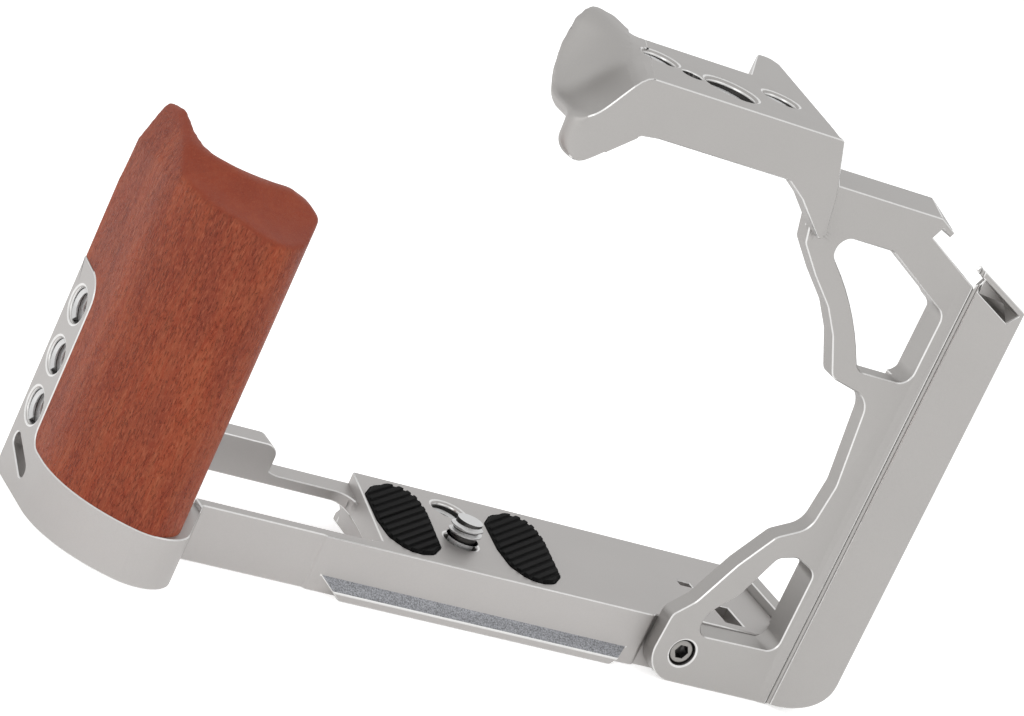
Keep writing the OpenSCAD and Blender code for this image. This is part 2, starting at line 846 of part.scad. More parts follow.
module lock_screw() {
    z0 = -lock_back + tip_t + 0.02;
    z1 = -lock_face;
    color([0.5, 0.5, 0.5]) on_lock() difference() {
        union() {
            translate([0, 0, z0]) cylinder(h = 0.3, r1 = lock_r - 0.3, r2 = lock_r, $fn = 64);
            translate([0, 0, z0 + 0.3]) cylinder(h = z1 - z0 - 0.6, r = lock_r, $fn = 64);
            translate([0, 0, z1 - 0.3]) cylinder(h = 0.3, r1 = lock_r, r2 = lock_r - 0.3, $fn = 64);
        }
        translate([0, 0, z1 - 1.7]) hex_hole(key_af, 3);
        translate([0, 0, z0 - 1]) cylinder(h = 1 + stem_h + 0.05, r = stem_r + 0.04, $fn = 48);
    }
}

module lock_tip() {
    color([0.8, 0.65, 0.35]) on_lock() {
        translate([0, 0, -lock_back]) cylinder(h = tip_t, r = tip_r, $fn = 64);
        translate([0, 0, -lock_back]) cylinder(h = tip_t + stem_h, r = stem_r, $fn = 48);
    }
}

module guide_pins() {
    color([0.66, 0.66, 0.67]) for (y = pin_y)
        translate([arm_x - 1 - pin_len, y, pin_z]) rotate([0, 90, 0]) {
            cylinder(h = 0.6, r1 = pin_r - 0.5, r2 = pin_r, $fn = 48);
            translate([0, 0, 0.6]) cylinder(h = pin_len - 0.6, r = pin_r, $fn = 48);
        }
}

module hex_key() {
    color([0.25, 0.25, 0.26]) {
        translate([key_x0 + key_r, key_y, key_z]) rotate([0, 90, 0])
            cylinder(h = key_long - key_r, r = key_r, $fn = 6);
        translate([key_x0 + key_r, key_y, key_z]) rotate([90, 0, 0])
            cylinder(h = key_short, r = key_r, $fn = 6);
        translate([key_x0 + key_r, key_y, key_z]) sphere(r = key_r * 0.98, $fn = 24);
    }
}

module key_magnets() {
    color([0.6, 0.6, 0.62]) for (x = mag_at)
        translate([x, key_y, chan_top]) cylinder(h = mag_h, r = mag_r, $fn = 48);
}

base_plate();
side_arm();
grip_block();
grip_inserts();
grip_screws();
camera_screw();
screw_washer();
pad_left();
pad_right();
lock_screw();
lock_tip();
guide_pins();
hex_key();
key_magnets();
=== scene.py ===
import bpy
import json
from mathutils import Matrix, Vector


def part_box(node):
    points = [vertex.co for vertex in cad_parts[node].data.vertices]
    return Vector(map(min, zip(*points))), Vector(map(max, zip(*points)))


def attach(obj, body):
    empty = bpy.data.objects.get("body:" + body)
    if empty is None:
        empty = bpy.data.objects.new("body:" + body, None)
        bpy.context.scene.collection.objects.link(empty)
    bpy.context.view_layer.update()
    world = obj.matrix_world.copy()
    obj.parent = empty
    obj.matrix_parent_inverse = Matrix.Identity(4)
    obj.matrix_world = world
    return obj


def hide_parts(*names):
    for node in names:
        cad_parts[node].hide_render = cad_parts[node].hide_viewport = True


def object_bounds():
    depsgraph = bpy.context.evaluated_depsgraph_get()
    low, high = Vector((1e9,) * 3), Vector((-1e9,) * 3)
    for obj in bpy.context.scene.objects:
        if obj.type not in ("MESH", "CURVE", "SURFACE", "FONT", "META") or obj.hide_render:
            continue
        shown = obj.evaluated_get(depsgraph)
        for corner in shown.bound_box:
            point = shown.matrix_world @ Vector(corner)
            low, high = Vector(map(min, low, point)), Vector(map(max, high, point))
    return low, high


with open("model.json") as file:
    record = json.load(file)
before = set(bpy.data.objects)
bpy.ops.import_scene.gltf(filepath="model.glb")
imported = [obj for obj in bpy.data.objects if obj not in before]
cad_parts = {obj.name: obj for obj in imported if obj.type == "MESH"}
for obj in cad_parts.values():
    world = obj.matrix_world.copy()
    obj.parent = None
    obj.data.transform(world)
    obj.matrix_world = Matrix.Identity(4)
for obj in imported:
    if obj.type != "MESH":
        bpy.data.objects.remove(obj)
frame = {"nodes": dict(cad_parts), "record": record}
CAD_BOX = [list(corner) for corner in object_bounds()]

import json
import math

import bmesh
import bpy
from bpy.props import FloatProperty, FloatVectorProperty, IntProperty, PointerProperty
from mathutils import Matrix, Vector
from mathutils.bvhtree import BVHTree

bl_info = {
    "name": "Camera cage dressing",
    "version": (1, 0, 0),
    "blender": (4, 5, 0),
    "location": "3D View > Sidebar > Camera cage",
    "description": "Finishes the pieces of a camera cage and sets its studio",
    "category": "Object",
}

MM = 0.001
UP = Vector((0, 0, 1))
MOUNTS = {m["name"]: m for m in frame["record"]["mounts"]}

# finishes of the pieces that have several, in the order of their slots
# the first finishes of the base and the arm are lit and shaded copies of one blasted metal
# the last finish of each list is painted shade: a dark finish on the walls of threads, bores and
# sockets, where shade falls
BASE_FINISHES = ["blasted_base_lit", "cut_edge", "grained_flank", "painted_thread_shade"]
ARM_FINISHES = ["blasted_arm_shaded", "cut_edge", "painted_thread_shade"]
SCREW_FINISHES = ["steel", "painted_thread_shade"]
LOCK_FINISHES = ["dark_steel", "painted_thread_shade"]
CUT_SLOT = 1
# slot of the painted shade in the screws' threads and sockets
PAINTED_SHADE_SLOT = 1

# least turn, in degrees, of the edges that are broken
METAL_CORNER = 28
WING_CORNER = 22
SMALL_CORNER = 40

# points of a CAD mesh nearer than this are one point
WELD = 0.002 * MM
# points of a chamfer may stand off the surface that it is cut in by this much
OFF_SURFACE = 0.02 * MM
# the remeshed box is 2 to this power cells wide
CELL_DEPTH = 8
# room round a bore in which its wall is looked for, in millimetres
BORE_MARGIN = 0.05

# half heights of a thread ridge at its foot and tip, and the room that the ridge
# leaves at each end of the thread, as shares of the pitch
RIDGE_FOOT = 0.45
RIDGE_TIP = 0.08
RIDGE_ROOM = 0.46
# threads wider than this radius have the large pitch
LARGE_RADIUS = 4 * MM

# the sockets of a Mix node that mixes colours
MIX_FACTOR, MIX_FIRST, MIX_SECOND, MIX_RESULT = 0, 6, 7, 2


def colour(name, text, default):
    return FloatVectorProperty(
        name=name, description=text, default=default, size=3, subtype="COLOR", min=0, max=1)


def length(name, text, default, low, high):
    return FloatProperty(
        name=name, description=text, default=default, min=low, max=high,
        unit="LENGTH", precision=5)


def share(name, text, default, high=1.0):
    return FloatProperty(
        name=name, description=text, default=default, min=0, max=high, subtype="FACTOR")


def count(name, text, default, high, low=0):
    return IntProperty(name=name, description=text, default=default, min=low, max=high)


def place(name, text, default):
    return FloatVectorProperty(
        name=name, description=text, default=default, size=3, subtype="TRANSLATION",
        unit="LENGTH", precision=5)


def direction(name, text, default):
    return FloatVectorProperty(
        name=name, description=text, default=default, size=3, subtype="DIRECTION", precision=5)


class MetalLooks(bpy.types.PropertyGroup):
    # the base and arm colours are one blasted metal in two tones: the base's lighter tone is
    # painted light, making up for the shadowed floor that its faces mirror
    metal: colour("Base metal", "Colour of the blasted base", (0.445, 0.430, 0.420))
    arm: colour("Arm metal", "Colour of the blasted arm", (0.405, 0.393, 0.382))
    cut: colour("Cut edge", "Colour of the bright chamfers", (0.70, 0.695, 0.685))
    flank: colour("Flank", "Colour of the grained clamping flank", (0.265, 0.27, 0.285))
    steel: colour("Steel", "Colour of screws and pins", (0.50, 0.49, 0.475))
    dark_steel: colour("Dark steel", "Colour of the lock screw", (0.30, 0.29, 0.275))
    brass: colour("Brass", "Colour of inserts and the screw tip", (0.72, 0.53, 0.24))
    # painted shade: the dark colour put on the walls of threads, bores and sockets, where shade
    # falls
    shade: colour(
        "Painted thread shade", "Colour of the bottom of threads and sockets", (0.085, 0.082, 0.08))
    black: colour("Black oxide", "Colour of the hex key", (0.035, 0.035, 0.038))
    roughness: share("Roughness", "Roughness of the blasted metal", 0.5)
    chamfer: length("Chamfer", "Width of the chamfers on metal edges", 0.00022, 0.00005, 0.001)
    root_front: place(
        "Root front", "Front end of the line where the wing leaves the plate",
        (-0.016, -0.019, 0.11))
    root_back: place(
        "Root back", "Back end of the line where the wing leaves the plate",
        (-0.005, 0.011, 0.11))
    root_curve: FloatProperty(
        name="Root curve", description="Rise of the wing behind its root, for each metre squared",
        default=70, min=0, max=500)
    wing_seam: length(
        "Wing seam", "Way from the root to where the shaped wing starts", 0.0026, 0.001, 0.005)
    wing_rubs: count("Wing rubs", "Times that the saddle wing is rubbed smooth", 50, 100)


class WoodLooks(bpy.types.PropertyGroup):
    heart: colour("Heartwood", "Main colour of the wood", (0.325, 0.056, 0.021))
    pale: colour("Pale streak", "Colour of the pale streaks", (0.37, 0.092, 0.040))
    dark: colour("Dark streak", "Colour of the dark streaks", (0.185, 0.032, 0.018))
    pore: colour("Pore", "Colour of the open pores", (0.145, 0.025, 0.015))
    # the glint is a painted highlight: a light colour along the raised fibres, for the light that
    # they catch
    glint: colour("Glint", "Colour of the raised fibres", (0.45, 0.125, 0.062))
    pore_density: share("Pore density", "How much the pores gather in places", 0.14)
    band_mix: share("Band mix", "Strength of the broad dark bands", 0.6)
    glint_mix: share("Glint mix", "Strength of the raised fibres", 0.6)
    rubbed_mix: share("Rubbed mix", "How plain the carved top is", 0.62)
    pore_mix: share("Pore mix", "Strength of the pores on the sides", 0.12)
    carved_pore_mix: share("Carved pore mix", "Strength of the pores on the carved top", 0.05)
    carved_relief: share("Carved relief", "Relief of the carved top, 1 for that of the sides", 0.2)
    relief: length("Relief", "Depth of the grain", 0.00017, 0, 0.001)
    roughness: share("Roughness", "Roughness of the oiled wood", 0.5)
    shine: share("Shine", "Specular level of the oiled wood", 0.22)
    cell: length(
        "Cell", "Size of the cells that the carved shape is made of", 0.0005, 0.0004, 0.003)
    rubs: count("Rubs", "Times that the carved top is rubbed smooth", 18, 60)


class ThreadSizes(bpy.types.PropertyGroup):
    quarter_pitch: length(
        "Quarter inch pitch", "Pitch of the quarter inch threads", 0.00127, 0.0005, 0.003)
    large_pitch: length(
        "Large pitch", "Pitch of the three eighths inch thread", 0.001588, 0.0005, 0.003)
    depth: share("Depth", "Thread depth as a share of the pitch", 0.52)
    steps: count("Steps", "Steps of one turn of a thread", 28, 64, low=12)


class PadLooks(bpy.types.PropertyGroup):
    rubber: colour("Rubber", "Colour of the pads", (0.006, 0.006, 0.006))
    nylon: colour("Nylon", "Colour of the washer", (0.78, 0.77, 0.72))


class StageLooks(bpy.types.PropertyGroup):
    floor: colour("Floor", "Colour of the floor", (0.93, 0.93, 0.93))
    glow: share("Floor glow", "Light that the floor adds where it is seen", 0.55)
    world: share("World", "Level of the plain light all round", 0.78, 2.0)
    key: FloatProperty(
        name="Key", description="Power of the large soft lamp", default=3.2, min=0, max=100,
        unit="POWER")
    key_place: place("Key place", "Place of the large soft lamp", (-1.25, -0.85, 0.75))
    key_size: length("Key size", "Width of the large soft lamp", 0.9, 0.1, 5.0)
    fill: share("Fill", "Power of the second lamp, 1 for that of the first", 0.3)
    fill_place: place("Fill place", "Place of the second lamp", (0.7, -0.9, 0.9))
    fill_size: length("Fill size", "Width of the second lamp", 0.8, 0.1, 5.0)
    aim: place("Aim", "Point that the lamps face", (0, 0, 0.05))
    floor_size: length("Floor size", "Width of the floor", 6.0, 1.0, 20.0)
    lens: FloatProperty(
        name="Lens", description="Focal length of the camera for a 36 mm wide image",
        default=140.17, min=20, max=400)
    eye: place("Eye", "Place of the camera", (-0.36921, -0.59203, 0.24693))
    eye_right: direction(
        "Eye right", "Direction to the right in the picture", (0.83385, -0.37417, 0.40600))
    eye_up: direction(
        "Eye up", "Direction upwards in the picture", (-0.22987, 0.43358, 0.87138))


def group_with(name, inputs, outputs):
    """A shader node group with its sockets, and its input and output nodes."""
    tree = bpy.data.node_groups.new(name, "ShaderNodeTree")
    for label, value in inputs:
        socket = tree.interface.new_socket(
            name=label, in_out="INPUT", socket_type="NodeSocketFloat")
        socket.default_value = value
    for label in outputs:
        tree.interface.new_socket(name=label, in_out="OUTPUT", socket_type="NodeSocketFloat")
    return tree, tree.nodes.new("NodeGroupInput"), tree.nodes.new("NodeGroupOutput")


def math_node(tree, operation, first, second):
    """Works out one sum of two numbers or sockets."""
    node = tree.nodes.new("ShaderNodeMath")
    node.operation = operation
    for socket, value in zip(node.inputs, (first, second)):
        if isinstance(value, bpy.types.NodeSocket):
            tree.links.new(value, socket)
        else:
            socket.default_value = value
    return node.outputs[0]


def mix_colour(tree, factor, first, second, blend="MIX"):
    """Mixes two colours, each given as a socket or as three numbers."""
    node = tree.nodes.new("ShaderNodeMix")
    node.data_type = "RGBA"
    node.blend_type = blend
    for index, value in ((MIX_FACTOR, factor), (MIX_FIRST, first), (MIX_SECOND, second)):
        socket = node.inputs[index]
        if isinstance(value, bpy.types.NodeSocket):
            tree.links.new(value, socket)
        elif isinstance(value, (int, float)):
            socket.default_value = value
        else:
            socket.default_value = (*value, 1)
    return node.outputs[MIX_RESULT]


def noise(tree, vector, scale, detail=2.0, roughness=0.5, distortion=0.0):
    """A noise between 0 and 1."""
    node = tree.nodes.new("ShaderNodeTexNoise")
    node.inputs["Scale"].default_value = scale
    node.inputs["Detail"].default_value = detail
    node.inputs["Roughness"].default_value = roughness
    node.inputs["Distortion"].default_value = distortion
    tree.links.new(vector, node.inputs["Vector"])
    return node.outputs["Fac"]


def ramp(tree, value, low, high, to_low=0.0, to_high=1.0):
    """Maps low to to_low and high to to_high, with nothing beyond them."""
    node = tree.nodes.new("ShaderNodeMapRange")
    node.inputs["From Min"].default_value = low
    node.inputs["From Max"].default_value = high
    node.inputs["To Min"].default_value = to_low
    node.inputs["To Max"].default_value = to_high
    tree.links.new(value, node.inputs["Value"])
    return node.outputs["Result"]


def stretched(tree, along_z=1):
    """Object coordinates, those along Z scaled."""
    coordinates = tree.nodes.new("ShaderNodeTexCoord")
    mapping = tree.nodes.new("ShaderNodeMapping")
    mapping.inputs["Scale"].default_value = (1, 1, along_z)
    tree.links.new(coordinates.outputs["Object"], mapping.inputs["Vector"])
    return mapping.outputs["Vector"]


def blasted_grain():
    """Makes the fine grain of a blasted surface: a shade near 1 and a height."""
    tree, inside, out = group_with(
        "blasted_grain", [("Scale", 1.0), ("Contrast", 0.1), ("Haze", 0.06)],
        ["Shade", "Height"])
    scaled = tree.nodes.new("ShaderNodeVectorMath")
    scaled.operation = "SCALE"
    tree.links.new(stretched(tree), scaled.inputs[0])
    tree.links.new(inside.outputs["Scale"], scaled.inputs["Scale"])
    fine = noise(tree, scaled.outputs[0], scale=5200, detail=2.0, roughness=0.6)
    cloud = noise(tree, scaled.outputs[0], scale=60, detail=2.0, roughness=0.5)
    grain = math_node(
        tree, "MULTIPLY", math_node(tree, "SUBTRACT", fine, 0.5), inside.outputs["Contrast"])
    haze = math_node(
        tree, "MULTIPLY", math_node(tree, "SUBTRACT", cloud, 0.5), inside.outputs["Haze"])
    tree.links.new(
        math_node(tree, "ADD", math_node(tree, "ADD", grain, haze), 1.0), out.inputs["Shade"])
    tree.links.new(fine, out.inputs["Height"])


def wood_figure():
    """Makes the masks of the wood, along Z: streaks, bands, pores, painted highlights of the
    fibres and a height.
    """
    tree, inside, out = group_with(
        "wood_figure", [("Pore density", 0.5)], ["Streak", "Band", "Pore", "Glint", "Height"])
    bands = noise(
        tree, stretched(tree, 0.25), scale=170, detail=3.0, roughness=0.6, distortion=0.4)
    streaks = noise(
        tree, stretched(tree, 0.16), scale=1100, detail=3.0, roughness=0.6, distortion=0.6)
    fibres = noise(
        tree, stretched(tree, 0.25), scale=3500, detail=2.0, roughness=0.55, distortion=0.4)
    gaps = noise(tree, stretched(tree, 0.5), scale=700, detail=1.0, roughness=0.5)
    tree.links.new(ramp(tree, streaks, low=0.34, high=0.66), out.inputs["Streak"])
    tree.links.new(ramp(tree, bands, low=0.36, high=0.64), out.inputs["Band"])
    gathered = math_node(
        tree, "MULTIPLY", math_node(tree, "SUBTRACT", gaps, 0.5), inside.outputs["Pore density"])
    pore = ramp(tree, math_node(tree, "ADD", fibres, gathered), low=0.57, high=0.71)
    tree.links.new(pore, out.inputs["Pore"])
    # painted highlight along the fibres
    tree.links.new(ramp(tree, fibres, low=0.46, high=0.3), out.inputs["Glint"])
    raised = math_node(tree, "MULTIPLY", fibres, 0.8)
    tree.links.new(math_node(tree, "SUBTRACT", raised, pore), out.inputs["Height"])


def new_material(name):
    """A material with its node tree and its Principled shader."""
    material = bpy.data.materials.new(name)
    material.use_nodes = True
    tree = material.node_tree
    return material, tree, tree.nodes["Principled BSDF"]


def group_node(tree, name):
    """A node that holds a shared group."""
    node = tree.nodes.new("ShaderNodeGroup")
    node.node_tree = bpy.data.node_groups[name]
    return node


def bump_into(tree, shader, height, distance, strength=1.0):
    """Gives the shader a relief."""
    bump = tree.nodes.new("ShaderNodeBump")
    bump.inputs["Distance"].default_value = distance
    bump.inputs["Strength"].default_value = strength
    tree.links.new(height, bump.inputs["Height"])
    tree.links.new(bump.outputs["Normal"], shader.inputs["Normal"])


def blasted_metal(name, tint, roughness, contrast, scale, depth):
    """Metal with the fine grain of a blasted surface."""
    material, tree, shader = new_material(name)
    grain = group_node(tree, "blasted_grain")
    grain.inputs["Scale"].default_value = scale
    grain.inputs["Contrast"].default_value = contrast
    tree.links.new(
        mix_colour(tree, 1.0, tint, grain.outputs["Shade"], "MULTIPLY"),
        shader.inputs["Base Color"])
    shader.inputs["Metallic"].default_value = 1.0
    shader.inputs["Roughness"].default_value = roughness
    bump_into(tree, shader, grain.outputs["Height"], depth, strength=0.5)
    return material


def plain_metal(name, tint, roughness):
    """Machined metal with faint turning marks."""
    material, tree, shader = new_material(name)
    marks = noise(tree, stretched(tree), scale=900, detail=2.0, roughness=0.5)
    marked = ramp(tree, marks, low=0.3, high=0.7, to_high=0.25)
    tree.links.new(
        mix_colour(tree, marked, tint, [0.72 * c for c in tint]), shader.inputs["Base Color"])
    shader.inputs["Metallic"].default_value = 1.0
    shader.inputs["Roughness"].default_value = roughness
    return material


def plain_plastic(name, tint, roughness, scale, depth, shine=0.5):
    """Rubber or plastic with a fine mottle."""
    material, tree, shader = new_material(name)
    marks = noise(tree, stretched(tree), scale, detail=3.0, roughness=0.6)
    marked = ramp(tree, marks, low=0.3, high=0.7)
    tree.links.new(
        mix_colour(tree, marked, [0.8 * c for c in tint], tint), shader.inputs["Base Color"])
    shader.inputs["Specular IOR Level"].default_value = shine
    shader.inputs["Roughness"].default_value = roughness
    bump_into(tree, shader, marks, depth, strength=0.6)
    return material


def oiled_wood(name, looks):
    """The wood, plainer and smoother where the attribute says that it is carved."""
    material, tree, shader = new_material(name)
    figure = group_node(tree, "wood_figure")
    figure.inputs["Pore density"].default_value = looks.pore_density
    attribute = tree.nodes.new("ShaderNodeAttribute")
    attribute.attribute_name = "carved"
    carved = attribute.outputs["Fac"]
    rubbed = [0.5 * (a + b) for a, b in zip(looks.heart, looks.dark)]
    pore_mix = ramp(
        tree, carved, low=0.0, high=1.0, to_low=looks.pore_mix, to_high=looks.carved_pore_mix)
    body = mix_colour(tree, figure.outputs["Streak"], looks.heart, looks.pale)
    # the glint mix lays a painted highlight along the fibres
    for mask, mix, tint in (
            (figure.outputs["Band"], looks.band_mix, looks.dark),
            (figure.outputs["Glint"], looks.glint_mix, looks.glint),
            (carved, looks.rubbed_mix, rubbed),
            (figure.outputs["Pore"], pore_mix, looks.pore)):
        body = mix_colour(tree, math_node(tree, "MULTIPLY", mask, mix), body, tint)
    tree.links.new(body, shader.inputs["Base Color"])
    shader.inputs["Roughness"].default_value = looks.roughness
    shader.inputs["Specular IOR Level"].default_value = looks.shine
    relief = ramp(tree, carved, low=0.0, high=1.0, to_low=1.0, to_high=looks.carved_relief)
    bump_into(
        tree, shader, math_node(tree, "MULTIPLY", figure.outputs["Height"], relief), looks.relief)
    return material


def material_of(name):
    """The finish of that name, made when it is first asked for."""
    if name in bpy.data.materials:
        return bpy.data.materials[name]
    scene = bpy.context.scene
    metal, pads = scene.cage_metal, scene.cage_pads
    blasted = {"roughness": metal.roughness, "contrast": 0.1, "scale": 1.0, "depth": 0.00001}
    makers = {
        # the base and arm tones are lit and shaded copies of one blasted metal, the base's being
        # painted light
        "blasted_base_lit": lambda: blasted_metal(name, metal.metal, **blasted),
        "blasted_arm_shaded": lambda: blasted_metal(name, metal.arm, **blasted),
        "grained_flank": lambda: blasted_metal(
            name, metal.flank, roughness=0.45, contrast=2.4, scale=0.75, depth=0.0001),
        "cut_edge": lambda: plain_metal(name, metal.cut, roughness=0.3),
        "steel": lambda: plain_metal(name, metal.steel, roughness=0.2),
        "dark_steel": lambda: plain_metal(name, metal.dark_steel, roughness=0.32),
        "painted_thread_shade": lambda: plain_metal(name, metal.shade, roughness=0.4),
        "brass": lambda: plain_metal(name, metal.brass, roughness=0.32),
        "black_oxide": lambda: plain_metal(name, metal.black, roughness=0.38),
        "ribbed_rubber": lambda: plain_plastic(
            name, pads.rubber, roughness=0.75, scale=2600, depth=0.00005, shine=0.08),
        "nylon": lambda: plain_plastic(
            name, pads.nylon, roughness=0.45, scale=900, depth=0.00002),
        "oiled_wood": lambda: oiled_wood(name, scene.cage_wood),
    }
    return makers[name]()


def solid_of(node):
    """A merged copy of a CAD node's mesh."""
    bm = bmesh.new()
    bm.from_mesh(frame["nodes"][node].data)
    bmesh.ops.remove_doubles(bm, verts=bm.verts, dist=WELD)
    return bm


def corner_edges(bm, least, keep=lambda edge: True):
    """Outer edges that turn by more than least degrees."""
    return [
        e for e in bm.edges
        if len(e.link_faces) == 2 and e.is_convex
        and e.calc_face_angle(0) > math.radians(least) and keep(e)]


def chamfer(bm, edges, width):
    """Breaks the edges, keeps every corner on the surface it came from, gives the new faces."""
    surface = BVHTree.FromBMesh(bm)
    faces = bmesh.ops.bevel(
        bm, geom=edges, affect="EDGES", offset=width, offset_type="OFFSET", segments=1,
        profile=0.5, material=-1, clamp_overlap=False, loop_slide=False)["faces"]
    for vert in bm.verts:
        nearest, _, _, away = surface.find_nearest(vert.co)
        if away > OFF_SURFACE:
            vert.co = nearest
    return faces


def bright_chamfer(bm, edges, width):
    """Breaks the edges and gives the new faces the finish of a fresh cut."""
    for face in chamfer(bm, edges, width):
        face.material_index = CUT_SLOT


def remeshed(bm, cell):
    """The same solid in even cells, its sharp edges kept."""
    mesh = bpy.data.meshes.new("cells")
    bm.to_mesh(mesh)
    bm.free()
    block = bpy.data.objects.new("cells", mesh)
    bpy.context.scene.collection.objects.link(block)
    cells = block.modifiers.new("cells", "REMESH")
    cells.mode = "SHARP"
    cells.octree_depth = CELL_DEPTH
    cells.scale = max(block.dimensions) / (2 ** CELL_DEPTH * cell)
    cells.use_remove_disconnected = False
    even = bpy.data.meshes.new_from_object(
        block.evaluated_get(bpy.context.evaluated_depsgraph_get()))
    fresh = bmesh.new()
    fresh.from_mesh(even)
    for item in (mesh, even):
        bpy.data.meshes.remove(item)
    return fresh


def part_of(bm, point, across, side):
    """The closed part of a solid on one side of a plane."""
    part = bm.copy()
    bmesh.ops.bisect_plane(
        part, geom=[*part.verts, *part.edges, *part.faces], plane_co=point,
        plane_no=across, clear_inner=side > 0, clear_outer=side < 0)
    bmesh.ops.holes_fill(part, edges=[e for e in part.edges if e.is_boundary], sides=0)
    return part


def add_part(bm, part):
    """Adds a part to a bmesh and frees the part."""
    mesh = bpy.data.meshes.new("part")
    part.to_mesh(mesh)
    part.free()
    bm.from_mesh(mesh)
    bpy.data.meshes.remove(mesh)


def rub(bm, times, verts, corners=()):
    """Rubs these points of a shape smooth, those of a corner only along it."""
    chain = {}
    for edge in corners:
        for vert in edge.verts:
            chain.setdefault(vert, []).append(edge.other_vert(vert))
    free = [v for v in verts if len(chain.get(v, ())) < 2]
    runs = [(v, ends) for v, ends in chain.items() if len(ends) > 1 and v in verts]
    for _ in range(times):
        bmesh.ops.smooth_vert(
            bm, verts=free, factor=0.5, use_axis_x=True, use_axis_y=True, use_axis_z=True)
        places = [
            v.co.lerp(sum((end.co for end in ends), Vector()) / len(ends), 0.5)
            for v, ends in runs]
        for (vert, _), spot in zip(runs, places):
            vert.co = spot


def finished(name, bm, body, materials, crease=24, replaces=()):
    """Turns a bmesh into a piece of the object, sharp where it turns by more than crease."""
    mesh = bpy.data.meshes.new(name)
    for face in bm.faces:
        face.smooth = True
    bm.to_mesh(mesh)
    bm.free()
    mesh.set_sharp_from_angle(angle=math.radians(crease))
    for material in materials:
        mesh.materials.append(material_of(material))
    piece = bpy.data.objects.new(name, mesh)
    bpy.context.scene.collection.objects.link(piece)
    flat = piece.modifiers.new("flat faces", "WEIGHTED_NORMAL")
    flat.keep_sharp = True
    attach(piece, body)
    if replaces:
        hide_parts(*replaces)


def paint_node(node, material):
    """Gives a CAD node that stays as it is its finish."""
    mesh = frame["nodes"][node].data
    mesh.materials.clear()
    mesh.materials.append(material_of(material))


def paint_bore(bm, middle, axis, half, reach, slot):
    """Gives the wall of a bore the finish in that slot."""
    for face in bm.faces:
        off = face.calc_center_median() - middle
        along = off.dot(axis)
        if (abs(along) < half and (off - along * axis).length < reach
                and abs(face.normal.dot(axis)) < 0.9):
            face.material_index = slot


def hole_of(name):
    """The middle, axis, length in millimetres and radius in millimetres of a hole."""
    mount = MOUNTS[name]
    return (
        Vector(mount["pos_m"]), Vector(mount["axis"]).normalized(),
        mount["dims"]["length_mm"], mount["dims"]["r_mm"])


def shade_thread_walls(bm, holes, slot):
    """Paints shade on the walls of the named holes: gives them the finish in that slot."""
    for name in holes:
        middle, axis, span, radius = hole_of(name)
        paint_bore(
            bm, middle, axis, (span / 2 + BORE_MARGIN) * MM, (radius + BORE_MARGIN) * MM, slot)


def add_ridge(bm, base, axis, span, foot, tip, pitch, steps):
    """Winds one thread ridge round an axis, from -span/2 to span/2 of base."""
    side = axis.orthogonal().normalized()
    start = -span / 2 + RIDGE_ROOM * pitch
    turns = max(0.5, (span - 2 * RIDGE_ROOM * pitch) / pitch)
    profile = [(foot, -RIDGE_FOOT), (tip, -RIDGE_TIP), (tip, RIDGE_TIP), (foot, RIDGE_FOOT)]
    verts = [bm.verts.new(base + side * r + axis * (start + h * pitch)) for r, h in profile]
    face = bm.faces.new(verts)
    bmesh.ops.spin(
        bm, geom=[face, *face.edges, *face.verts], cent=base, axis=axis,
        dvec=axis * (pitch / steps), angle=math.tau * turns, steps=round(steps * turns),
        use_merge=False, use_duplicate=False)


def is_flank(face):
    """Whether a face of the base is the sloping underside of a clamping edge."""
    return (
        face.calc_center_median().z < 3.6 * MM and abs(face.normal.z) > 0.5
        and 0.25 < abs(face.normal.y) < 0.95 and abs(face.normal.x) < 0.2)


class PieceOperator:
    """What the operators share: each builds its pieces from the scene's values"""
    bl_options = {"REGISTER", "UNDO"}

    def execute(self, context):
        self.build(context.scene)
        return {"FINISHED"}


class CAGE_OT_base_plate(PieceOperator, bpy.types.Operator):
    """Base plate with front rail, grip foot, post and clamping edges"""
    bl_idname = "cage.base_plate"
    bl_label = "Base plate"

    def build(self, scene):
        bm = solid_of("base_plate")
        bright_chamfer(bm, corner_edges(bm, METAL_CORNER), scene.cage_metal.chamfer)
        for vert in bm.verts:
            vert.co.z = max(vert.co.z, CAD_BOX[0][2])
        bm.normal_update()
        for face in bm.faces:
            if face.material_index == 0 and is_flank(face):
                face.material_index = BASE_FINISHES.index("grained_flank")
        # painted shade on the walls of the threaded holes
        shade_thread_walls(
            bm, ("post_thread_1", "post_thread_2", "post_thread_3", "base_thread"),
            BASE_FINISHES.index("painted_thread_shade"))
        finished(
            "base_metal", bm, "base", BASE_FINISHES, replaces=["base_plate"])


